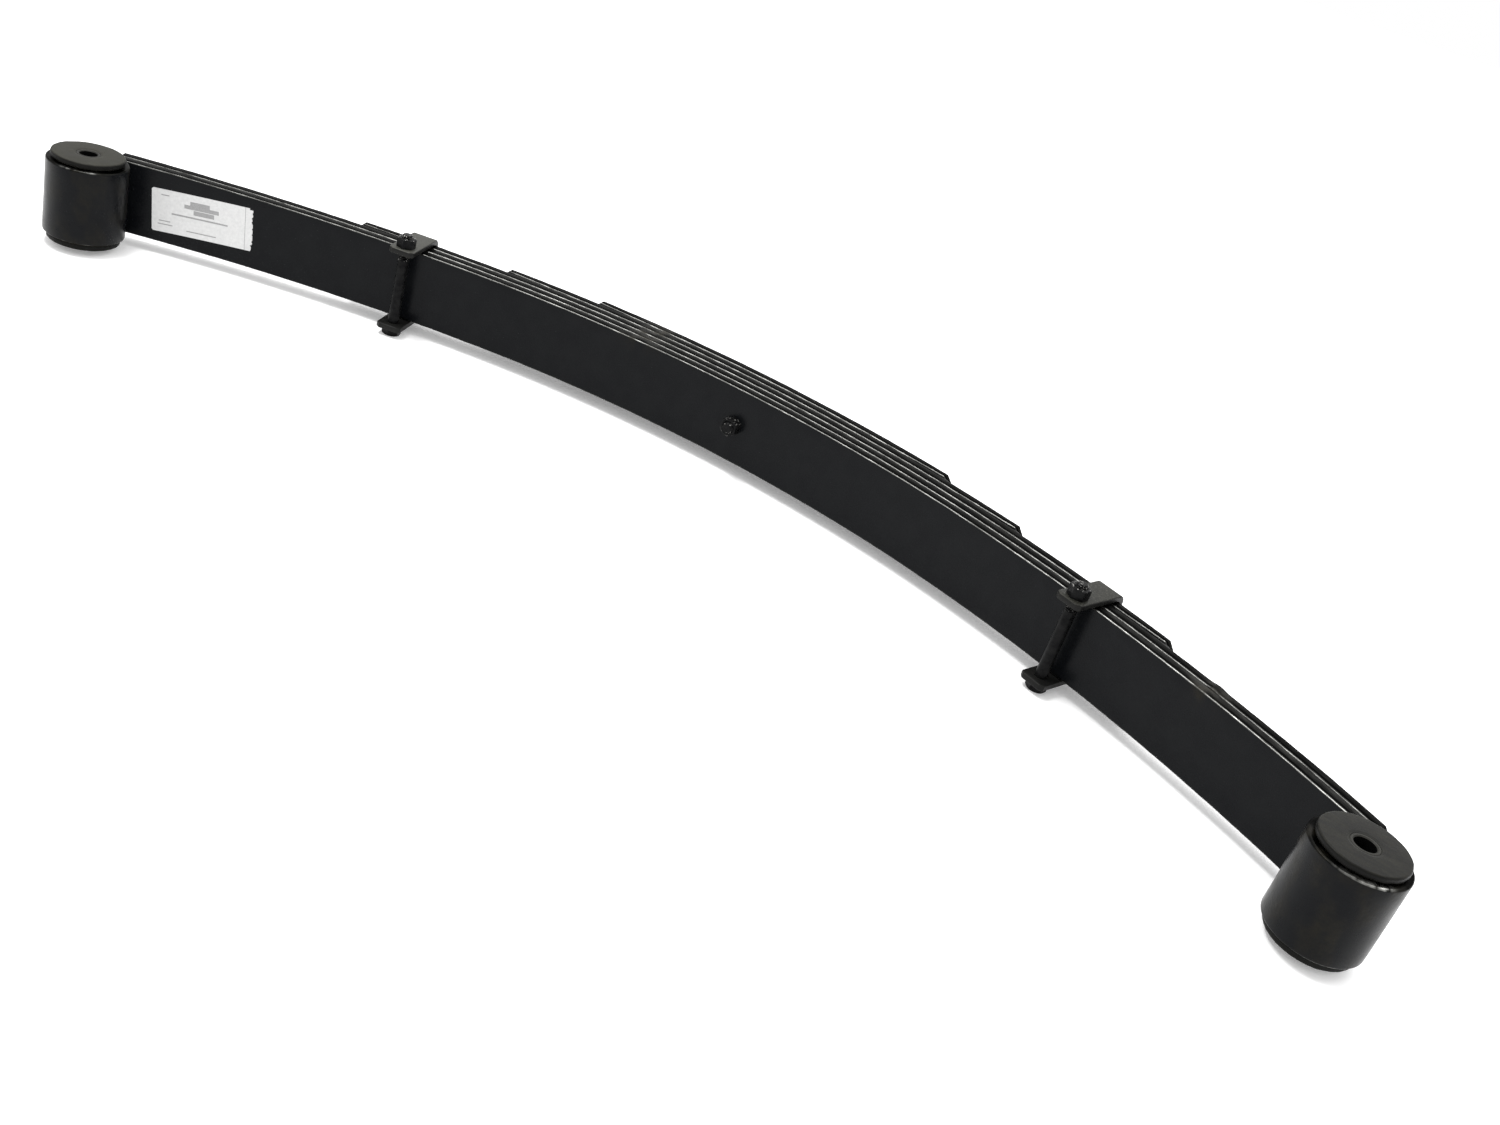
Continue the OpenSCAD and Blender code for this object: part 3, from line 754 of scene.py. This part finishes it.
# ---------------------------------------------------------------- rebound clips
def strap(side_name):
    """The flat bar bent round the pack: ears in front, rounded bends at the back."""
    node = side_name + "_clip_strap"
    side = SIDES[side_name]
    half_t, half_w, edge_r = STRAP_T / 2, STRAP_W / 2, 0.9 * MM
    ear = -EAR_REACH
    # the strap's middle line: behind three leaves, above them, and round the bend between the two
    back, high, bend = 31.55 * MM + half_t, 32.25 * MM + half_t, 3 * MM + half_t
    path = [(y, -high, 0.0, -1.0) for y in np.linspace(ear, back - bend, 15)]
    for t in np.linspace(0, 90, 10)[1:]:
        c, d = math.cos(math.radians(t)), math.sin(math.radians(t))
        path.append((back - bend + bend * d, -high + bend - bend * c, d, -c))
    path += [(back, z, 1.0, 0.0) for z in np.linspace(-high + bend, high - bend, 13)[1:]]
    for t in np.linspace(0, 90, 10)[1:]:
        c, d = math.cos(math.radians(t)), math.sin(math.radians(t))
        path.append((back - bend + bend * c, high - bend + bend * d, c, d))
    path += [(y, high, 0.0, 1.0) for y in np.linspace(back - bend, ear, 15)[1:]]
    path = np.array(path)
    extra = np.array([[ear + k, 0, 0, 0] for k in (0.25 * MM, 0.9 * MM, 3 * MM)])
    low = extra + [0, -high, 0, -1]
    top = extra[::-1] + [0, high, 0, 1]
    path = np.concatenate([path[:1], low, path[1:-1][(path[1:-1, 0] > ear + 3.2 * MM)], top, path[-1:]])
    reach = path[:, 0] - ear
    narrow = np.clip(3 * MM - reach, 0, None)
    worn = np.where(reach < 0.9 * MM, 0.9 * MM * (1 - reach / (0.9 * MM)) ** 2, 0) * 0.6
    ring = []
    wave = Ripple(70 + (side > 0), 5 * MM, 30 * MM)
    for (y, z, ny, nz), cut, w in zip(path, narrow, worn):
        hx, ht = half_w - cut - w * 0.5 - edge_r, half_t - w - edge_r
        outline = []
        for sx, st, start in ((1, 1, 0), (-1, 1, 90), (-1, -1, 180), (1, -1, 270)):
            for t in np.linspace(0, 90, 5):
                a = math.radians(start + t)
                outline.append((sx * hx + edge_r * math.cos(a), st * ht + edge_r * math.sin(a)))
        outline = np.array(outline)
        outline[:, 1] += 0.04 * MM * wave(outline[:, 0], np.full(len(outline), y + z))
        ring.append(np.stack([outline[:, 0], y + outline[:, 1] * ny, z + outline[:, 1] * nz], -1))
    count = len(ring[0])
    place = to_world(side, CLIP_HALF[side_name])
    verts = np.array([place @ Vector(v) for v in np.concatenate(ring)])
    faces = grid_faces(len(ring), count, side < 0)
    first = tuple(range(count))
    last = tuple(range((len(ring) - 1) * count, len(ring) * count))
    faces += [first[::-1], last] if side > 0 else [first, last[::-1]]
    obj = make(node + "_bent", verts, faces, 40)
    upright = place @ Matrix.Translation((0, -CLIP_BOLT_OUT, 0))
    drill(obj, lathe("drill", [HOLE_R] * 2, [-60 * MM, 60 * MM], upright, 40))
    across = place @ Matrix.Translation((0, 30 * MM, 0)) @ Matrix.Rotation(math.radians(-90), 4, "X")
    drill(obj, lathe("drill", [RIVET_R + 0.1 * MM] * 2, [-4 * MM, 10 * MM], across, 40))
    return finish_piece(obj, node, "clip_steel", side_name + "_arm")


def drill(obj, tool):
    """Cuts the tool's shape out of the piece and removes the tool."""
    cut = obj.modifiers.new("cut", "BOOLEAN")
    cut.object, cut.operation, cut.solver = tool, "DIFFERENCE", "EXACT"
    mesh = bpy.data.meshes.new_from_object(obj.evaluated_get(bpy.context.evaluated_depsgraph_get()))
    obj.modifiers.remove(cut)
    obj.data = mesh
    mesh.set_sharp_from_angle(angle=math.radians(40))
    bpy.data.objects.remove(tool)


def clip_fasteners(side_name):
    side = SIDES[side_name]
    p = point_at(CLIP_HALF[side_name], -CLIP_BOLT_OUT) * (side, 1)
    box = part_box(side_name + "_clip_bolt")
    turn = -side * float(lean_at(CLIP_HALF[side_name]))
    upright = Matrix.Translation((float(p[0]), float(p[1]), 0)) @ Matrix.Rotation(turn, 4, "Z")
    seat = box[0].z + HEX_HEAD_H
    radii, heights = hex_rings(-seat, HEX_HEAD_H)
    flipped = upright @ Matrix.Rotation(math.pi, 4, "X")
    head = lathe("head", radii, heights, flipped, 72)
    threads = thread_rings(box[1].z - 24 * MM, box[1].z)
    shank = lathe("shank", [BOLT_R, BOLT_R] + threads[0], [seat - 0.5 * MM, seat] + threads[1], upright, 40)
    bolt = merged(side_name + "_clip_bolt_forged", [head, shank])
    finish_piece(bolt, side_name + "_clip_bolt", "fastener_steel", side_name + "_arm")
    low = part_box(side_name + "_clip_nut")[0].z
    radii, heights = hex_rings(low, NUT_H, HOLE_R)
    nut = lathe(side_name + "_clip_nut_hex", radii, heights, upright, 72, loop=True)
    finish_piece(nut, side_name + "_clip_nut", "fastener_steel", side_name + "_arm")


def clip_rivet(side_name):
    """Domed head outside the strap, with its shank into the third leaf."""
    node = side_name + "_clip_rivet"
    place = to_world(SIDES[side_name], CLIP_HALF[side_name]) @ Matrix.Rotation(math.radians(-90), 4, "X")
    # the seat is the strap's outer face, measured from the main leaf's concave one
    seat, head_r, head_h = 36.4 * MM, 8 * MM, 3.5 * MM
    sphere_r = (head_r**2 + head_h**2) / (2 * head_h)
    angles = np.linspace(math.asin(head_r / sphere_r), 0.04, 10)
    dome = [(sphere_r * math.sin(a), seat + head_h - sphere_r * (1 - math.cos(a))) for a in angles]
    dented = lambda r: (lambda t: r * (1 + 0.012 * np.sin(3 * t + 1) + 0.008 * np.sin(7 * t)))
    radii = [RIVET_R, RIVET_R, dented(head_r - 0.3 * MM)] + [dented(r) for r, _ in dome]
    heights = [21.5 * MM, seat, seat] + [h for _, h in dome]
    heights[3] = seat + 0.25 * MM
    obj = lathe(node + "_domed", radii, heights, place, 48)
    if SIDES[side_name] < 0:
        obj.data.flip_normals()
    return finish_piece(obj, node, "clip_steel", side_name + "_arm")


# ---------------------------------------------------------------- eye bushings and sleeves
def rounded(points, radius):
    """A profile with its corners rounded."""
    out = [points[0]]
    for before, at, after in zip(points, points[1:], points[2:]):
        at, a, b = (np.array(x, float) for x in (at, before, after))
        size = min(radius, np.linalg.norm(a - at) / 2.1, np.linalg.norm(b - at) / 2.1)
        start = at + (a - at) / np.linalg.norm(a - at) * size
        end = at + (b - at) / np.linalg.norm(b - at) * size
        for t in np.linspace(0, 1, 4):
            out.append(tuple((1 - t) ** 2 * start + 2 * t * (1 - t) * at + t * t * end))
    return out + [points[-1]]


def bushing(side_name, up):
    """One rubber half: a plug in the eye and a flange over its end, slightly uneven as moulded."""
    node = f"{side_name}_bushing_{'upper' if up else 'lower'}"
    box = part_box(node)
    top = box[1].z if up else -box[0].z
    flange_r = (box[1].x - box[0].x) / 2
    cx, cy = eye_centre(SIDES[side_name])
    body_r = EYE_INNER_R - 0.05 * MM
    bore_r = 9.65 * MM
    seat = HALF_W + 0.3 * MM
    inner_end = 0.2 * MM
    profile = [(bore_r, inner_end), (body_r, inner_end), (body_r, seat), (flange_r - 3 * MM, seat),
               (flange_r - 0.2 * MM, seat + 1.2 * MM), (flange_r, top - 1.2 * MM),
               (flange_r - 0.9 * MM, top - 0.05 * MM), (15 * MM, top - 0.02 * MM),
               (11.6 * MM, top - 0.02 * MM), (10.6 * MM, top - 0.3 * MM), (bore_r, top - 0.45 * MM)]
    profile = rounded(profile, 0.8 * MM)
    wave = Ripple(80 + 2 * (side_name == "rear") + up, 0.6, 3.0)
    seam = Ripple(90 + 2 * (side_name == "rear") + up, 0.25, 1.0)
    radii, heights = [], []
    for r, h in profile:
        outside, on_top = float(r > body_r), float(h > seat + 1 * MM)

        def radius_at(t, r=r, h=h, outside=outside):
            x, y = 3 * np.cos(t), 3 * np.sin(t)
            return r + outside * (0.1 * MM * wave(x, y) + 0.04 * MM * seam(x, y + 900 * h))

        def height_at(t, r=r, h=h, on_top=on_top):
            dip = 1 + wave(90 * r * np.cos(t), 90 * r * np.sin(t)) / 2
            return h - on_top * 0.06 * MM * dip

        radii.append(radius_at)
        heights.append(height_at)
    place = Matrix.Translation((float(cx), float(cy), 0))
    if not up:
        place = place @ Matrix.Rotation(math.pi, 4, "X")
    obj = lathe(node + "_moulded", radii, heights, place, 128, loop=True, sharp=50)
    return finish_piece(obj, node, "bushing_rubber", side_name + "_eye")


def sleeve(side_name):
    node = side_name + "_sleeve"
    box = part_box(node)
    cx, cy = eye_centre(SIDES[side_name])
    outer, bore, top = (box[1].x - box[0].x) / 2, SLEEVE_BORE_R, box[1].z
    radii = [outer, outer, outer - 0.4 * MM, bore + 0.7 * MM, bore, bore, bore + 0.7 * MM, outer - 0.4 * MM]
    heights = [-top + 0.4 * MM, top - 0.4 * MM, top, top, top - 0.7 * MM, -top + 0.7 * MM, -top, -top]
    place = Matrix.Translation((float(cx), float(cy), 0))
    obj = lathe(node + "_turned", radii, heights, place, 72, loop=True)
    return finish_piece(obj, node, "sleeve_steel", side_name + "_sleeve")


for side_name in SIDES:
    strap(side_name)
    clip_fasteners(side_name)
    clip_rivet(side_name)
    bushing(side_name, True)
    bushing(side_name, False)
    sleeve(side_name)


# ---------------------------------------------------------------- the label: plain paper with grey bars
def label():
    """A torn and slightly crooked sheet, cut into small cells that are either paper or ink."""
    length, height = LABEL_LENGTH, LABEL_HEIGHT
    # where its middle lies along the front half, its slant, and the size of a cell
    middle = 503.5 * MM
    tilt = math.radians(4.2)
    step = 0.5 * MM
    columns, rows = int(length / step), int(height / step)
    tear = Ripple(5, 3 * MM, 12 * MM)
    corner = 2.2 * MM
    perforation = 81.3
    # printed bars in millimetres: left, right, low, high
    bars = [(8, 15, 32.5, 33.5), (33, 50, 28.5, 32), (28, 58, 25, 28.5), (36, 54, 20.5, 24.5),
            (17, 66, 17, 18.4), (6, 16, 9.5, 10.4), (5, 18, 6.5, 7.4), (30, 56, 4.5, 5.4)]
    verts, index, faces, inks = [], {}, [], []

    def inside(x, y):
        if x < corner and (y < corner or y > height - corner):
            cy = corner if y < corner else height - corner
            return (x - corner) ** 2 + (y - cy) ** 2 <= corner**2
        right = length - 6 * MM - 0.5 * MM * float(tear(np.array(y), np.array(0.0)))
        # the torn end: its middle reaches further than its two corners
        if y >= height - 1.5 * MM:
            return x < right + 3.2 * MM
        return x < right + (6 * MM if y > 5.5 * MM else 4.4 * MM)

    def vertex(i, j, layer):
        key = (i, j, layer)
        if key not in index:
            x, y = i * step - length / 2, j * step - height / 2
            s = middle - (x * math.cos(tilt) - y * math.sin(tilt))
            z = y * math.cos(tilt) + x * math.sin(tilt)
            near = min(i, columns - i, j, rows - j) * step
            curl = 0.12 * MM * math.exp(-near / (1.5 * MM))
            p = point_at(s, -(0.03 * MM + layer * 0.1 * MM) - (curl if layer else 0))
            index[key] = len(verts)
            verts.append((-float(p[0]), float(p[1]), z))
        return index[key]

    cells = {(i, j) for i in range(columns) for j in range(rows)
             if inside((i + 0.5) * step, (j + 0.5) * step)}
    for i, j in sorted(cells):
        x, y = (i + 0.5) * step / MM, (j + 0.5) * step / MM
        top = [vertex(i, j, 1), vertex(i + 1, j, 1), vertex(i + 1, j + 1, 1), vertex(i, j + 1, 1)]
        faces.append(tuple(top))
        inks.append(any(a < x < b and c < y < d for a, b, c, d in bars) or abs(x - perforation) < 0.3)
        low = [vertex(i, j, 0), vertex(i + 1, j, 0), vertex(i + 1, j + 1, 0), vertex(i, j + 1, 0)]
        faces.append(tuple(low[::-1]))
        inks.append(False)
        for (di, dj), (a, b) in (((0, -1), (0, 1)), ((1, 0), (1, 2)), ((0, 1), (2, 3)), ((-1, 0), (3, 0))):
            if (i + di, j + dj) not in cells:
                faces.append((low[a], low[b], top[b], top[a]))
                inks.append(False)
    obj = make("label_paper", verts, faces, 60)
    finish_piece(obj, "label", "label_paper", bend=bend_zone("front", True))
    obj.data.materials.append(INK)
    obj.data.polygons.foreach_set("material_index", [int(x) for x in inks])
    return obj


label()


# ---------------------------------------------------------------- studio
def studio():
    """A white floor under the spring, white surroundings and two soft lamps."""
    low = min(corner[2] for corner in cad_box)
    reach = 12.0
    verts = [(x * reach, y * reach, low) for x, y in ((-1, -1), (1, -1), (1, 1), (-1, 1))]
    floor = make("floor", verts, [(0, 1, 2, 3)])
    mat = Paint("floor_white", (0.9, 0.9, 0.9), 0.9, specular=0.1)
    mat.link(mat.mix(mat.noise(3.0, 3, 0.5), (0.895, 0.895, 0.895), (0.905, 0.905, 0.905)), "Base Color")
    mat.set("Emission Color", (1, 1, 1, 1))
    mat.set("Emission Strength", 0.2)
    floor.data.materials.append(mat.mat)

    scene = bpy.context.scene
    world = bpy.data.worlds.new("studio")
    scene.world = world
    world.use_nodes = True
    tree = world.node_tree
    # the surroundings light the spring a little more strongly than the camera sees them
    background = tree.nodes["Background"]
    background.inputs["Color"].default_value = (1, 1, 1, 1)
    background.inputs["Strength"].default_value = 1.16
    seen = tree.nodes.new("ShaderNodeBackground")
    seen.inputs["Color"].default_value = (1, 1, 1, 1)
    seen.inputs["Strength"].default_value = 1.0
    path = tree.nodes.new("ShaderNodeLightPath")
    choose = tree.nodes.new("ShaderNodeMixShader")
    tree.links.new(path.outputs["Is Camera Ray"], choose.inputs[0])
    tree.links.new(background.outputs[0], choose.inputs[1])
    tree.links.new(seen.outputs[0], choose.inputs[2])
    tree.links.new(choose.outputs[0], tree.nodes["World Output"].inputs["Surface"])
    scene.view_settings.view_transform = "Standard"

    # places and sizes in metres, power in watts
    def soft_light(name, place, target, width, height, power):
        data = bpy.data.lights.new(name, "AREA")
        data.shape, data.size, data.size_y, data.energy = "RECTANGLE", width, height, power
        obj = bpy.data.objects.new(name, data)
        obj.location = place
        obj.rotation_euler = (Vector(target) - Vector(place)).to_track_quat("-Z", "Y").to_euler()
        scene.collection.objects.link(obj)

    soft_light("key", (0.6, 0.7, 1.7), (0, -0.05, 0), 2.2, 1.4, 20)
    soft_light("edge_strip", (-0.7, -0.45, 1.8), (0, -0.1, 0), 0.9, 0.4, 30)


def camera():
    """The photograph's viewpoint, above and in front of the concave side, with its roll."""
    data = bpy.data.cameras.new("camera")
    data.sensor_width = 36.0
    data.lens = 35.0
    obj = bpy.data.objects.new("camera", data)
    place = (0.4669, -1.0588, 0.4741)
    view = Vector((-0.33596, 0.81598, -0.47044)).normalized()
    roll = math.radians(18.07)
    level = view.cross(Vector((0, 0, 1))).normalized()
    right = level * math.cos(roll) + level.cross(view) * math.sin(roll)
    up = right.cross(view)
    turn = Matrix((right, up, -view)).transposed().to_4x4()
    obj.matrix_world = Matrix.Translation(place) @ turn
    bpy.context.scene.collection.objects.link(obj)
    bpy.context.scene.camera = obj


studio()
camera()
